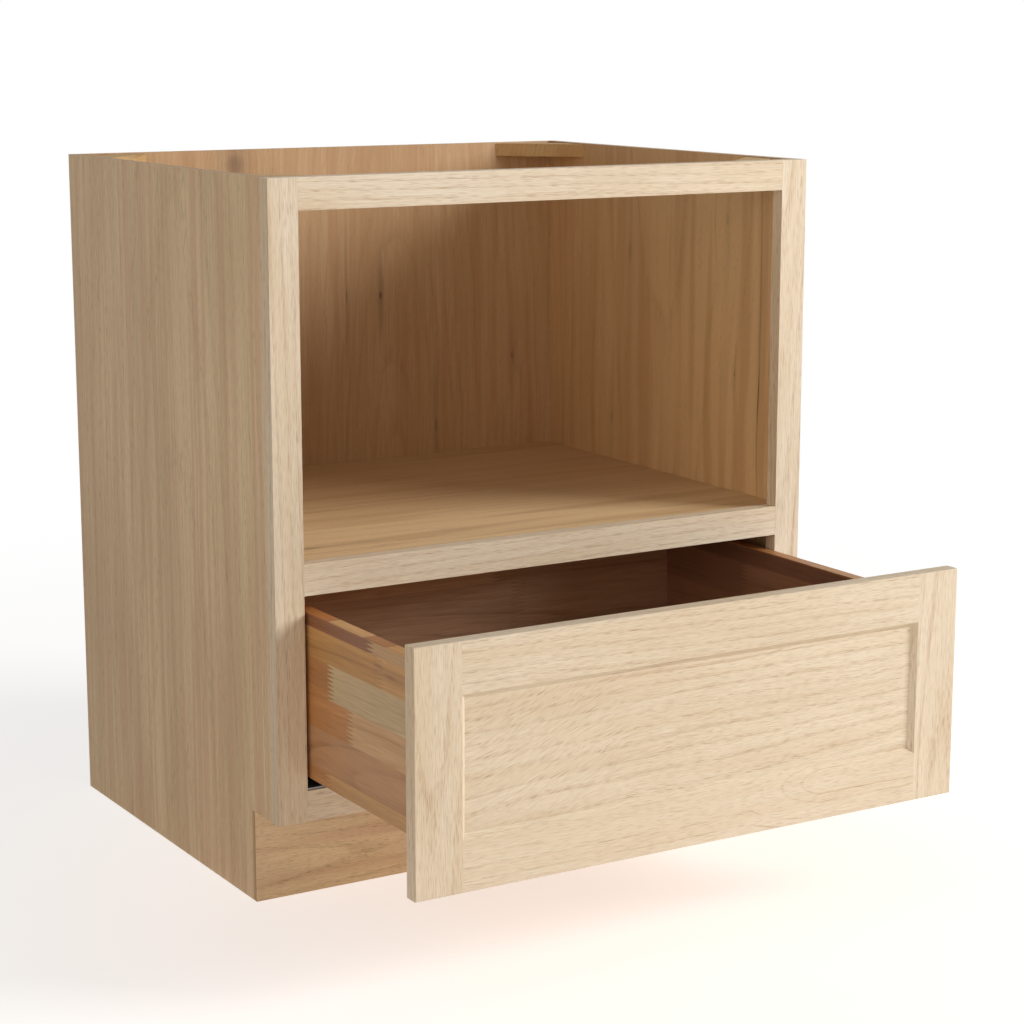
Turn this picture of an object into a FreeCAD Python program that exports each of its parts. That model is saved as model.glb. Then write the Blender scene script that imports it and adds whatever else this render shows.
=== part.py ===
"""Microwave base cabinet: an oak face frame on a plywood carcass, an open bay above one drawer.

The origin lies on the floor, in the middle of the wall face. +X is the cabinet's right as seen from the
front, +Y points into the wall and +Z points up. Every length is in millimetres. The drawer is modelled
shut and is then drawn out to its stored position, OPEN_AT_REST from shut.
"""
import FreeCAD
import Part
import math
import os

# Carcass
CABINET_W = 762.0
CABINET_D = 609.6
CABINET_H = 876.3
SIDE_T = 12.7
BACK_T = 9.5
SHELF_T = 19.05
FLOOR_T = 12.7
HOUSING_D = 6.35
PANEL_DROP = 2.4

# Toe kick
TOE_H = 114.3
TOE_SETBACK = 76.2
TOE_BOARD_T = 12.7
TOE_SKIN_T = 9.5

# Face frame
FRAME_T = 19.05
STILE_W = 38.1
TOP_RAIL_H = 38.1
MID_RAIL_H = 38.1
BOTTOM_RAIL_H = 38.1
DRAWER_OPENING_H = 237.1
TENON_L = 24.0
TENON_T = 7.5
TENON_SHOULDER = 8.0

# Corner braces under the worktop
BRACE_T = 18.0
BRACE_W = 38.1
BRACE_LEG = 94.0
BRACE_DROP = 1.5

# Five-piece drawer front
FRONT_REVEAL = 6.35
FRONT_LIFT = 5.6
FRONT_OVERLAY = 12.4
FRONT_T = 19.05
FRONT_RAIL_W = 59.0
FRONT_BEVEL = 6.4
FRONT_GROOVE_D = 9.5
FRONT_PANEL_T = 6.35
FRONT_PANEL_PLAY = 1.0
EASED_EDGE = 0.8

# Dovetailed drawer box
BOX_GAP = 5.0
BOX_T = 15.9
BOX_LIFT = 14.3
BOX_HEADROOM = 19.6
BOX_FLOOR_T = 6.35
BOX_FLOOR_LIFT = 12.7
BOX_GROOVE_D = 6.35
TAIL_PITCH = 25.4
TAIL_L = 11.9
TAIL_NECK_W = 9.5
TAIL_SLOPE_DEG = 14.0
RUNNER_NOTCH_W = 42.0

# How far out the drawer is stored, and how it shuts
OPEN_AT_REST = 300.0
SHUT_GAP = 2.0
BUMPER_R = 4.0
BUMPER_TIP_R = 3.1
BUMPER_H = 1.7
BUMPER_INSET = 13.0

# Undermount runners, one set of nested steel channels at each side; the drawer travels their whole length
RUNNER_SETBACK = 3.0
RUNNER_REAR_GAP = 63.7
RUNNER_LIFT = 0.6
RUNNER_INSET = 18.0
RUNNER_HALF_W = 13.0
SHEET = 1.5
ROLLER_R = 2.1
ROLLER_L = 12.0
ROLLER_PLAY = 0.3
LIP_W = 5.5
LIP_PLAY = 0.6
BEAM_SETBACK = 20.0
BEAM_REAR_SETBACK = 36.4
BEAM_HALF_W = 8.5
BEAM_WEB_T = 3.0
CAGE_L = 200.0
CAGE_T = 1.4
CAGE_PLAY = 1.0
CAGE_MARGIN = 12.0
ROLLERS_PER_CAGE = 4
HOOK_PIN_R = 2.5
HOOK_W = 10.0
HOOK_RISE = 12.0

# Rear socket of each runner
SOCKET_GRIP = 31.3
SOCKET_WALL = 3.0
SOCKET_H = 45.0
SOCKET_RIB = 27.0

# Soft-close unit beside each runner
CLOSER_L = 150.0
CLOSER_W = 14.0
CLOSER_REAR_GAP = 6.0
CLOSER_SLOT_W = 5.0
CLOSER_SLOT_D = 4.5
CATCH_L = 12.0
CATCH_REAR_INSET = 72.0

# Locking clip and its release lever under each front corner of the box
CLIP_L = 56.0
CLIP_W = 40.0
CLIP_GAP = 1.0
CLIP_PLATE_T = 3.0
CLIP_DROP = 11.2
PIVOT_R = 3.0
PIVOT_PLAY = 0.3
PIVOT_REAR_INSET = 8.0
PIVOT_SIDE_INSET = 8.0
LEVER_T = 3.6
LEVER_ARM_W = 6.0
LEVER_HUB_R = 6.2
LEVER_REACH = 39.0
TOOTH_W = 7.0
TOOTH_FROM_TIP = 8.0
TOOTH_PLAY = 1.4
PAD_L = 22.0
PAD_W = 4.5

# Screws that hold the drawer front on its box
SCREW_R = 1.9
SCREW_HEAD_R = 3.7
SCREW_HEAD_H = 1.9
SCREW_BITE = 12.0
FRONT_SCREW_X = 200.0

# Planes that the pieces share
FRONT_Y = -CABINET_D
FRAME_BACK_Y = FRONT_Y + FRAME_T
BACK_IN_Y = -BACK_T
SIDE_IN = CABINET_W / 2 - SIDE_T
OPENING_X = CABINET_W / 2 - STILE_W
RAIL_TOP_Z = TOE_H + BOTTOM_RAIL_H
FLOOR_TOP_Z = RAIL_TOP_Z - PANEL_DROP
MID_RAIL_Z = RAIL_TOP_Z + DRAWER_OPENING_H
SHELF_TOP_Z = MID_RAIL_Z + MID_RAIL_H - PANEL_DROP
TOE_Y = FRONT_Y + TOE_SETBACK

BOX_X = OPENING_X - BOX_GAP
BOX_IN_X = BOX_X - BOX_T
BOX_Z = RAIL_TOP_Z + BOX_LIFT
BOX_TOP_Z = MID_RAIL_Z - BOX_HEADROOM
RUNNER_L = CABINET_D - BACK_T - RUNNER_SETBACK - RUNNER_REAR_GAP
BOX_Y = FRONT_Y - SHUT_GAP
BOX_REAR_Y = BOX_Y + RUNNER_L
BOX_FLOOR_Z = BOX_Z + BOX_FLOOR_LIFT

FRONT_X = CABINET_W / 2 - FRONT_REVEAL
FRONT_Z = TOE_H + FRONT_LIFT
FRONT_TOP_Z = MID_RAIL_Z + FRONT_OVERLAY
FRONT_GROOVE = FRONT_RAIL_W + FRONT_BEVEL - FRONT_GROOVE_D
FRONT_PANEL_EDGE = FRONT_GROOVE + FRONT_PANEL_PLAY

RUNNER_X = BOX_IN_X - RUNNER_INSET
RUNNER_Y = FRONT_Y + RUNNER_SETBACK
RUNNER_Z = RAIL_TOP_Z + RUNNER_LIFT
RUNNER_REAR_Y = RUNNER_Y + RUNNER_L
BEAM_Y = FRONT_Y + BEAM_SETBACK
BEAM_REAR_Y = RUNNER_REAR_Y - BEAM_REAR_SETBACK
SOCKET_Y = RUNNER_REAR_Y - SOCKET_GRIP
CLOSER_REAR_Y = SOCKET_Y - CLOSER_REAR_GAP
ROLLER_GAP = 2 * (ROLLER_R + ROLLER_PLAY)
LOW_FLANGE_Z = RUNNER_Z + SHEET + ROLLER_GAP
HIGH_FLANGE_Z = BOX_FLOOR_Z - SHEET - ROLLER_GAP
LOW_LIP_Z = LOW_FLANGE_Z + SHEET + LIP_PLAY
HIGH_LIP_Z = HIGH_FLANGE_Z - SHEET - LIP_PLAY
CARRIER_Y = BOX_Y + BOX_T + CLIP_GAP
CLIP_X = RUNNER_X - RUNNER_HALF_W - CLIP_GAP


def vec(x, y, z):
    return FreeCAD.Vector(x, y, z)


def block(x0, x1, y0, y1, z0, z1):
    """A box between two planes on each axis."""
    return Part.makeBox(x1 - x0, y1 - y0, z1 - z0, vec(x0, y0, z0))


def prism(points, along):
    """The closed outline through points, swept along a vector."""
    return Part.Face(Part.makePolygon(points + points[:1])).extrude(along)


def prism_x(outline, x0, x1):
    """An outline of (y, z) pairs, swept from x0 to x1."""
    return prism([vec(x0, y, z) for y, z in outline], vec(x1 - x0, 0, 0))


def prism_y(outline, y0, y1):
    """An outline of (x, z) pairs, swept from y0 to y1."""
    return prism([vec(x, y0, z) for x, z in outline], vec(0, y1 - y0, 0))


def prism_z(outline, z0, z1):
    """An outline of (x, y) pairs, swept from z0 to z1."""
    return prism([vec(x, y, z0) for x, y in outline], vec(0, 0, z1 - z0))


def rod(radius, start, direction, length):
    """A round bar that starts at a point and runs along a direction."""
    return Part.makeCylinder(radius, length, start, direction)


def joined(shapes):
    """Several touching shapes as one solid with no seams on its flat faces."""
    return shapes[0].multiFuse(shapes[1:]).removeSplitter()


def mirrored(shape):
    """The same piece for the cabinet's left side."""
    return shape.mirror(vec(0, 0, 0), vec(1, 0, 0))


def drawn_out(shape, share=1.0):
    """A piece moved forward by its share of the drawer's stored opening."""
    moved = shape.copy()
    moved.translate(vec(0, -OPEN_AT_REST * share, 0))
    return moved


def carcass_panels():
    """Back, shelf and floor, housed in the side panels."""
    wide = SIDE_IN + HOUSING_D
    return {
        "back_panel": block(-wide, wide, BACK_IN_Y, 0, 0, CABINET_H),
        "microwave_shelf": block(-wide, wide, FRAME_BACK_Y, BACK_IN_Y, SHELF_TOP_Z - SHELF_T, SHELF_TOP_Z),
        "cabinet_floor": block(-wide, wide, FRAME_BACK_Y, BACK_IN_Y, FLOOR_TOP_Z - FLOOR_T, FLOOR_TOP_Z),
    }


def side_panel(housed):
    """The right side: notched for the toe kick, and cut out for each panel that it houses."""
    outline = [
        (FRAME_BACK_Y, TOE_H),
        (TOE_Y, TOE_H),
        (TOE_Y, 0),
        (0, 0),
        (0, CABINET_H),
        (FRAME_BACK_Y, CABINET_H),
    ]
    return prism_x(outline, SIDE_IN, CABINET_W / 2).cut(housed)


def toe_kick():
    """The board that carries the front of the floor, and the finished skin over its whole width."""
    return {
        "toe_kick_board": block(-SIDE_IN, SIDE_IN, TOE_Y, TOE_Y + TOE_BOARD_T, 0, FLOOR_TOP_Z - FLOOR_T),
        "toe_kick_skin": block(-CABINET_W / 2, CABINET_W / 2, TOE_Y - TOE_SKIN_T, TOE_Y, 0, TOE_H),
    }


def frame_rail(low, height):
    """A rail of the face frame with a stub tenon at each end."""
    middle = (FRONT_Y + FRAME_BACK_Y) / 2
    reach = OPENING_X + TENON_L
    rail = block(-OPENING_X, OPENING_X, FRONT_Y, FRAME_BACK_Y, low, low + height)
    tenons = block(
        -reach,
        reach,
        middle - TENON_T / 2,
        middle + TENON_T / 2,
        low + TENON_SHOULDER,
        low + height - TENON_SHOULDER,
    )
    return joined([rail, tenons])


def face_frame():
    """Three rails tenoned between two stiles."""
    rails = {
        "frame_top_rail": frame_rail(CABINET_H - TOP_RAIL_H, TOP_RAIL_H),
        "frame_mid_rail": frame_rail(MID_RAIL_Z, MID_RAIL_H),
        "frame_bottom_rail": frame_rail(TOE_H, BOTTOM_RAIL_H),
    }
    stile = block(OPENING_X, CABINET_W / 2, FRONT_Y, FRAME_BACK_Y, TOE_H, CABINET_H)
    stile = stile.cut(list(rails.values()))
    return {**rails, "frame_stile_right": stile, "frame_stile_left": mirrored(stile)}


def corner_braces():
    """A board mitred across each top corner, which the worktop is screwed down to."""
    inner = BRACE_LEG - BRACE_W * math.sqrt(2)
    top = CABINET_H - BRACE_DROP
    braces = {}
    for end, corner_y, inward in (("front", FRAME_BACK_Y, 1), ("rear", BACK_IN_Y, -1)):
        outline = [
            (SIDE_IN - BRACE_LEG, corner_y),
            (SIDE_IN, corner_y + inward * BRACE_LEG),
            (SIDE_IN, corner_y + inward * inner),
            (SIDE_IN - inner, corner_y),
        ]
        brace = prism_z(outline, top - BRACE_T, top)
        braces[f"corner_brace_{end}_right"] = brace
        braces[f"corner_brace_{end}_left"] = mirrored(brace)
    return braces


def front_section():
    """Cross-section of a drawer-front member: (distance in from its outer edge, depth from its face)."""
    edge = FRONT_RAIL_W + FRONT_BEVEL
    tongue = FRONT_BEVEL + FRONT_PANEL_T
    return [
        (0, 0),
        (FRONT_RAIL_W, 0),
        (edge, FRONT_BEVEL),
        (FRONT_GROOVE, FRONT_BEVEL),
        (FRONT_GROOVE, tongue),
        (edge, tongue),
        (edge, FRONT_T),
        (0, FRONT_T),
    ]


def eased_slab(y0):
    """The whole drawer front as one slab whose front edges are eased."""
    slab = block(-FRONT_X, FRONT_X, y0, y0 + FRONT_T, FRONT_Z, FRONT_TOP_Z)
    rim = [edge for edge in slab.Edges if edge.BoundBox.YMax < y0 + EASED_EDGE / 2]
    return slab.makeChamfer(EASED_EDGE, rim)


def drawer_front():
    """Stiles and coped rails with a bevelled inner edge, round a flat panel in their grooves."""
    face_y = BOX_Y - FRONT_T
    section = front_section()
    slab = eased_slab(face_y)

    stile = prism([vec(FRONT_X - a, face_y + d, FRONT_Z) for a, d in section], vec(0, 0, FRONT_TOP_Z - FRONT_Z))
    stiles = [stile, mirrored(stile)]
    reach = FRONT_X - FRONT_GROOVE
    rails = []
    for edge_z, inward in ((FRONT_Z, 1), (FRONT_TOP_Z, -1)):
        outline = [vec(-reach, face_y + d, edge_z + inward * a) for a, d in section]
        rails.append(prism(outline, vec(2 * reach, 0, 0)).cut(stiles).common(slab))

    panel = block(
        FRONT_PANEL_EDGE - FRONT_X,
        FRONT_X - FRONT_PANEL_EDGE,
        face_y + FRONT_BEVEL,
        face_y + FRONT_BEVEL + FRONT_PANEL_T,
        FRONT_Z + FRONT_PANEL_EDGE,
        FRONT_TOP_Z - FRONT_PANEL_EDGE,
    )
    return {
        "drawer_front_stile_right": stiles[0].common(slab),
        "drawer_front_stile_left": stiles[1].common(slab),
        "drawer_front_bottom_rail": rails[0],
        "drawer_front_top_rail": rails[1],
        "drawer_front_panel": panel,
    }


def tail_steps():
    """Outline of one end of a box side, bottom to top: (distance out from the shoulder, height)."""
    height = BOX_TOP_Z - BOX_Z
    count = max(2, round(height / TAIL_PITCH))
    pitch = height / count
    neck = TAIL_NECK_W / 2
    tip = neck + TAIL_L * math.tan(math.radians(TAIL_SLOPE_DEG))
    steps = [(0, BOX_Z)]
    for i in range(count):
        middle = BOX_Z + (i + 0.5) * pitch
        steps += [(0, middle - neck), (TAIL_L, middle - tip), (TAIL_L, middle + tip), (0, middle + neck)]
    return steps + [(0, BOX_TOP_Z)]


def drawer_box():
    """Sides whose dovetails lock into half-blind sockets in the front and back, round a grooved-in floor."""
    shoulder = BOX_Y + BOX_T
    rear_shoulder = BOX_REAR_Y - BOX_T
    floor_x = BOX_IN_X + BOX_GROOVE_D
    floor = block(
        -floor_x,
        floor_x,
        shoulder - BOX_GROOVE_D,
        rear_shoulder + BOX_GROOVE_D,
        BOX_FLOOR_Z,
        BOX_FLOOR_Z + BOX_FLOOR_T,
    )
    steps = tail_steps()
    outline = [(shoulder - out, z) for out, z in steps]
    outline += [(rear_shoulder + out, z) for out, z in reversed(steps)]
    side = prism_x(outline, BOX_IN_X, BOX_X)
    sides = [side, mirrored(side)]

    front = block(-BOX_X, BOX_X, BOX_Y, shoulder, BOX_Z, BOX_TOP_Z).cut(sides + [floor])
    back = block(-BOX_X, BOX_X, rear_shoulder, BOX_REAR_Y, BOX_Z, BOX_TOP_Z).cut(sides + [floor])
    notch = block(BOX_IN_X - RUNNER_NOTCH_W, BOX_IN_X, rear_shoulder, BOX_REAR_Y, BOX_Z, BOX_FLOOR_Z)
    back = back.cut([notch, mirrored(notch)])
    return {
        "drawer_side_right": side.cut(floor),
        "drawer_side_left": mirrored(side.cut(floor)),
        "drawer_box_front": front,
        "drawer_box_back": back,
        "drawer_bottom": floor,
    }


def drawer_front_screws():
    """Four screws with washer heads, from inside the box into the rails of the drawer front, past its panel."""
    low = (BOX_Z + FRONT_Z + FRONT_PANEL_EDGE) / 2
    high = (BOX_TOP_Z + FRONT_TOP_Z - FRONT_PANEL_EDGE) / 2
    screws = []
    for x in (-FRONT_SCREW_X, FRONT_SCREW_X):
        for z in (low, high):
            seat = vec(x, BOX_Y + BOX_T, z)
            shank = rod(SCREW_R, seat, vec(0, -1, 0), BOX_T + SCREW_BITE)
            screws.append(shank.fuse(rod(SCREW_HEAD_R, seat, vec(0, 1, 0), SCREW_HEAD_H)))
    return Part.makeCompound(screws)


def bumpers():
    """A soft tapered stud behind each corner of the drawer front."""
    studs = []
    for x in (BUMPER_INSET - FRONT_X, FRONT_X - BUMPER_INSET):
        for z in (FRONT_Z + BUMPER_INSET, FRONT_TOP_Z - BUMPER_INSET):
            studs.append(Part.makeCone(BUMPER_R, BUMPER_TIP_R, BUMPER_H, vec(x, BOX_Y, z), vec(0, 1, 0)))
    return Part.makeCompound(studs)


def cabinet_member():
    """The fixed channel: an upturned trough whose web runs out to a flange on the stile."""
    left = RUNNER_X - RUNNER_HALF_W
    right = RUNNER_X + RUNNER_HALF_W
    web = RUNNER_Z + SHEET
    lip_top = LOW_LIP_Z + SHEET
    flange_top = BOX_Z - SHEET
    outline = [
        (left, RUNNER_Z),
        (OPENING_X, RUNNER_Z),
        (OPENING_X, flange_top),
        (OPENING_X - SHEET, flange_top),
        (OPENING_X - SHEET, web),
        (right, web),
        (right, lip_top),
        (right - LIP_W, lip_top),
        (right - LIP_W, LOW_LIP_Z),
        (right - SHEET, LOW_LIP_Z),
        (right - SHEET, web),
        (left + SHEET, web),
        (left + SHEET, LOW_LIP_Z),
        (left + LIP_W, LOW_LIP_Z),
        (left + LIP_W, lip_top),
        (left, lip_top),
    ]
    return prism_y(outline, RUNNER_Y, RUNNER_REAR_Y)


def beam_member():
    """The middle member: an I-section that runs on rollers in the fixed channel and carries the drawer's."""
    x = RUNNER_X
    wide = BEAM_HALF_W
    thin = BEAM_WEB_T / 2
    low = LOW_FLANGE_Z
    high = HIGH_FLANGE_Z
    outline = [
        (x - wide, low),
        (x + wide, low),
        (x + wide, low + SHEET),
        (x + thin, low + SHEET),
        (x + thin, high - SHEET),
        (x + wide, high - SHEET),
        (x + wide, high),
        (x - wide, high),
        (x - wide, high - SHEET),
        (x - thin, high - SHEET),
        (x - thin, low + SHEET),
        (x - wide, low + SHEET),
    ]
    return prism_y(outline, BEAM_Y, BEAM_REAR_Y)


def drawer_member():
    """The drawer's channel: a downturned trough with a rear hook, a soft-close catch and a clip slot."""
    left = RUNNER_X - RUNNER_HALF_W
    right = RUNNER_X + RUNNER_HALF_W
    top = BOX_FLOOR_Z
    web = top - SHEET
    lip = HIGH_LIP_Z
    low = lip - SHEET
    outline = [
        (left, top),
        (left, low),
        (left + LIP_W, low),
        (left + LIP_W, lip),
        (left + SHEET, lip),
        (left + SHEET, web),
        (right - SHEET, web),
        (right - SHEET, lip),
        (right - LIP_W, lip),
        (right - LIP_W, low),
        (right, low),
        (right, top),
    ]
    channel = prism_y(outline, CARRIER_Y, BOX_REAR_Y)
    slot_y, tooth_z = tooth_place()
    slot = block(
        left,
        left + SHEET,
        slot_y - TOOTH_PLAY,
        slot_y + TOOTH_W + TOOTH_PLAY,
        tooth_z - ROLLER_PLAY,
        tooth_z + LEVER_T + ROLLER_PLAY,
    )
    hook = block(
        RUNNER_X - HOOK_W / 2,
        RUNNER_X + HOOK_W / 2,
        BOX_REAR_Y,
        BOX_REAR_Y + SHEET,
        web,
        top + HOOK_RISE,
    )
    pin = hook_pin(HOOK_PIN_R)
    return joined([channel.cut(slot), hook, pin, closer_catch()])


def hook_pin(radius):
    """The pin at the back of the drawer's channel, and the hole that it enters in the box back."""
    middle = BOX_FLOOR_Z + BOX_FLOOR_T + (HOOK_RISE - BOX_FLOOR_T) / 2
    return rod(radius, vec(RUNNER_X, BOX_REAR_Y, middle), vec(0, -1, 0), BOX_T / 2)


def closer_catch():
    """A tab on the drawer's channel that drops into the slot of the soft-close unit."""
    left = RUNNER_X - RUNNER_HALF_W
    middle = left - CLOSER_W / 2
    top = HIGH_LIP_Z
    bottom = closer_top() - CLOSER_SLOT_D + 2 * LIP_PLAY
    y0 = BOX_REAR_Y - CATCH_REAR_INSET
    outline = [
        (left, top),
        (middle - SHEET / 2, top),
        (middle - SHEET / 2, bottom),
        (middle + SHEET / 2, bottom),
        (middle + SHEET / 2, top - SHEET),
        (left, top - SHEET),
    ]
    return prism_y(outline, y0, y0 + CATCH_L)


def closer_top():
    return LOW_LIP_Z


def soft_close_unit():
    """A closed housing on the fixed channel, slotted along its top for the drawer's catch."""
    right = RUNNER_X - RUNNER_HALF_W
    left = right - CLOSER_W
    rear = CLOSER_REAR_Y
    body = block(left, right, rear - CLOSER_L, rear, RUNNER_Z, closer_top())
    ends = [edge for edge in body.Edges if edge.BoundBox.ZLength > SHEET and edge.BoundBox.XMax < right]
    body = body.makeFillet(CLOSER_W / 3, ends)
    middle = (left + right) / 2
    slot = block(
        middle - CLOSER_SLOT_W / 2,
        middle + CLOSER_SLOT_W / 2,
        rear - CLOSER_L,
        rear - CLOSER_W / 2,
        closer_top() - CLOSER_SLOT_D,
        closer_top(),
    )
    return body.cut(slot)


def rear_socket():
    """The bracket that holds the channel's rear end on the back panel."""
    left = RUNNER_X - RUNNER_HALF_W - SOCKET_WALL
    right = OPENING_X + SOCKET_WALL
    front = SOCKET_Y
    flange_y = BACK_IN_Y - SOCKET_WALL
    wall_top = BOX_Z - SHEET
    top = FLOOR_TOP_Z + SOCKET_H
    base = block(left, right, front, BACK_IN_Y, FLOOR_TOP_Z, RUNNER_Z)
    flange = block(left, right, flange_y, BACK_IN_Y, FLOOR_TOP_Z, top)
    inner = block(left, left + SOCKET_WALL, front, flange_y, RUNNER_Z, LOW_LIP_Z)
    rib = [
        (front, RUNNER_Z),
        (front, wall_top),
        (flange_y - SOCKET_RIB, wall_top),
        (flange_y, top),
        (flange_y, RUNNER_Z),
    ]
    outer = prism_x(rib, OPENING_X, right)
    return joined([base, flange, inner, outer])


def cage_and_rollers(front, low):
    """A flat cage and its rollers; low is the underside of the space that the rollers run in."""
    half_w = RUNNER_HALF_W - SHEET - CAGE_PLAY
    middle = low + ROLLER_GAP / 2
    pitch = CAGE_L / ROLLERS_PER_CAGE
    window_x = ROLLER_L / 2 + ROLLER_PLAY
    window_y = ROLLER_R + ROLLER_PLAY
    strip = block(
        RUNNER_X - half_w,
        RUNNER_X + half_w,
        front,
        front + CAGE_L,
        middle - CAGE_T / 2,
        middle + CAGE_T / 2,
    )
    rollers = []
    windows = []
    for i in range(ROLLERS_PER_CAGE):
        y = front + (i + 0.5) * pitch
        rollers.append(rod(ROLLER_R, vec(RUNNER_X - ROLLER_L / 2, y, middle), vec(1, 0, 0), ROLLER_L))
        windows.append(block(
            RUNNER_X - window_x,
            RUNNER_X + window_x,
            y - window_y,
            y + window_y,
            middle - CAGE_T,
            middle + CAGE_T,
        ))
    return strip.cut(windows), Part.makeCompound(rollers)


def pivot_place():
    """Where the release lever turns: its pin's axis in plan."""
    return CLIP_X - PIVOT_SIDE_INSET, BOX_Y + BOX_T + CLIP_L - PIVOT_REAR_INSET


def lever_z():
    return BOX_FLOOR_Z - CLIP_PLATE_T - PIVOT_PLAY - LEVER_T


def tooth_place():
    """Front edge of the lever's tooth along Y, and the underside of the lever."""
    tip_y = pivot_place()[1] - LEVER_REACH
    return tip_y + TOOTH_FROM_TIP, lever_z()


def locking_clip():
    """The clip's plate under the drawer bottom, its flange on the box and the headed pin for the lever."""
    front = BOX_Y + BOX_T
    top = BOX_FLOOR_Z
    low = top - CLIP_DROP
    pivot_x, pivot_y = pivot_place()
    left = CLIP_X - CLIP_W
    corner = CLIP_W / 3
    plan = [
        (left, front),
        (CLIP_X, front),
        (CLIP_X, front + CLIP_L),
        (left + corner, front + CLIP_L),
        (left, front + CLIP_L - corner),
    ]
    plate = prism_z(plan, top - CLIP_PLATE_T, top)
    flange = block(left, CLIP_X, front, front + CLIP_PLATE_T, low, top)
    down = vec(0, 0, -1)
    pin_l = CLIP_DROP - CLIP_PLATE_T
    pin = rod(PIVOT_R, vec(pivot_x, pivot_y, top - CLIP_PLATE_T), down, pin_l)
    head_z = lever_z() - PIVOT_PLAY
    head = rod(PIVOT_R * 1.5, vec(pivot_x, pivot_y, head_z), down, head_z - low)
    return joined([plate, flange, pin, head])


def release_lever():
    """A sprung lever: squeezed towards the drawer's middle, it draws its tooth out of the channel."""
    x, y = pivot_place()
    low = lever_z()
    tip = y - LEVER_REACH
    half = LEVER_ARM_W / 2
    tooth_y = tooth_place()[0]
    reach = RUNNER_X - RUNNER_HALF_W + SHEET
    outline = [
        (x - half, y),
        (x - half, tip + PAD_W),
        (x - half - PAD_L, tip + 2 * PAD_W),
        (x - half - PAD_L, tip + PAD_W),
        (x - half, tip),
        (x + half, tip),
        (x + half, tooth_y),
        (reach, tooth_y + TOOTH_W / 3),
        (reach, tooth_y + TOOTH_W),
        (x + half, tooth_y + TOOTH_W),
        (x + half, y),
    ]
    arm = prism_z(outline, low, low + LEVER_T)
    hub = rod(LEVER_HUB_R, vec(x, y, low), vec(0, 0, 1), LEVER_T)
    bore = rod(PIVOT_R + PIVOT_PLAY, vec(x, y, low), vec(0, 0, 1), LEVER_T)
    return joined([arm, hub]).cut(bore)


def both_sides(name, shape):
    """A right-hand piece and its mirror image, under one name each."""
    return {f"{name}_right": shape, f"{name}_left": mirrored(shape)}


def cabinet_pieces():
    """Every piece that stands still."""
    panels = carcass_panels()
    return {
        **both_sides("side_panel", side_panel(list(panels.values()))),
        **panels,
        **toe_kick(),
        **face_frame(),
        **corner_braces(),
        **both_sides("runner_cabinet_member", cabinet_member()),
        **both_sides("runner_rear_socket", rear_socket()),
        **both_sides("soft_close_unit", soft_close_unit()),
    }


def drawer_pieces():
    """Every piece that moves with the drawer, all the way."""
    box = drawer_box()
    front = drawer_front()
    front_screws = drawer_front_screws()
    pins = [hook_pin(HOOK_PIN_R), mirrored(hook_pin(HOOK_PIN_R))]
    box["drawer_box_front"] = box["drawer_box_front"].cut(front_screws)
    box["drawer_box_back"] = box["drawer_box_back"].cut(pins)
    for name in ("drawer_front_top_rail", "drawer_front_bottom_rail"):
        front[name] = front[name].cut(front_screws)
    return {
        **box,
        **front,
        "drawer_front_screws": front_screws,
        "drawer_front_bumpers": bumpers(),
        **both_sides("runner_drawer_member", drawer_member()),
        **both_sides("locking_clip", locking_clip()),
        **both_sides("release_lever", release_lever()),
    }


def main():
    """Build every piece, draw the moving ones out to their stored place and write one file for each."""
    os.makedirs("parts", exist_ok=True)
    pieces = cabinet_pieces()
    for name, shape in drawer_pieces().items():
        pieces[name] = drawn_out(shape)
    for name, shape in both_sides("runner_middle_member", beam_member()).items():
        pieces[name] = drawn_out(shape, 0.5)
    levels = (
        ("lower", RUNNER_Y + CAGE_MARGIN, RUNNER_Z + SHEET, 0.25),
        ("upper", BEAM_Y + CAGE_MARGIN, HIGH_FLANGE_Z, 0.75),
    )
    for level, front, low, share in levels:
        cage, rollers = cage_and_rollers(front + RUNNER_L / 4, low)
        for name, shape in both_sides(f"{level}_roller_cage", cage).items():
            pieces[name] = drawn_out(shape, share)
        for name, shape in both_sides(f"{level}_rollers", rollers).items():
            pieces[name] = drawn_out(shape, share)
    for name, shape in pieces.items():
        shape.exportStep(f"parts/{name}.step")
    print(len(pieces), "pieces")


main()
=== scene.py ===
"""Looks of the microwave base cabinet: a raw oak face frame and drawer front on an oak-faced plywood carcass,
with a finger-jointed drawer box on zinc-plated runners, standing on a pale floor in soft studio light.

Places are in metres in the cabinet's own frame: +X to its right as seen from the front, +Y into the wall, +Z up.
Wood figures are laid out in millimetres in the same frame, so each board keeps its figure wherever it moves.
"""
import logging
import math
from dataclasses import dataclass, field, replace
from enum import Enum

import bmesh
import bpy
from bpy.types import Camera, Light, Material, Mesh, Node, NodeSocket, NodeTree, Object
from mathutils import Euler, Matrix, Vector


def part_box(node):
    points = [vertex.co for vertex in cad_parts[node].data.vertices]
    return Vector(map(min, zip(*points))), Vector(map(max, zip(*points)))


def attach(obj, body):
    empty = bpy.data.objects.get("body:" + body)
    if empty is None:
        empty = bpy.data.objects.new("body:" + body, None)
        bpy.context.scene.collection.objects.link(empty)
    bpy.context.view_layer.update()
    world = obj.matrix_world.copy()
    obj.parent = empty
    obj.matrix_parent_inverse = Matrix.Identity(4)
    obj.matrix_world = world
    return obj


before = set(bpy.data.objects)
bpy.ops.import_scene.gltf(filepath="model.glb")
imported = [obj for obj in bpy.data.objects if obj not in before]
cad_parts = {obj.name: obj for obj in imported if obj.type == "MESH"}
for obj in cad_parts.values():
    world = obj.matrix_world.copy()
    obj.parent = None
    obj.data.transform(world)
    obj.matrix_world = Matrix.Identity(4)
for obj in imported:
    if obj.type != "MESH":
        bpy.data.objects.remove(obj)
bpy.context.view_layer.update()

log = logging.getLogger("cabinet")

Pair = tuple[float, float]
Triple = tuple[float, float, float]

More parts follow.
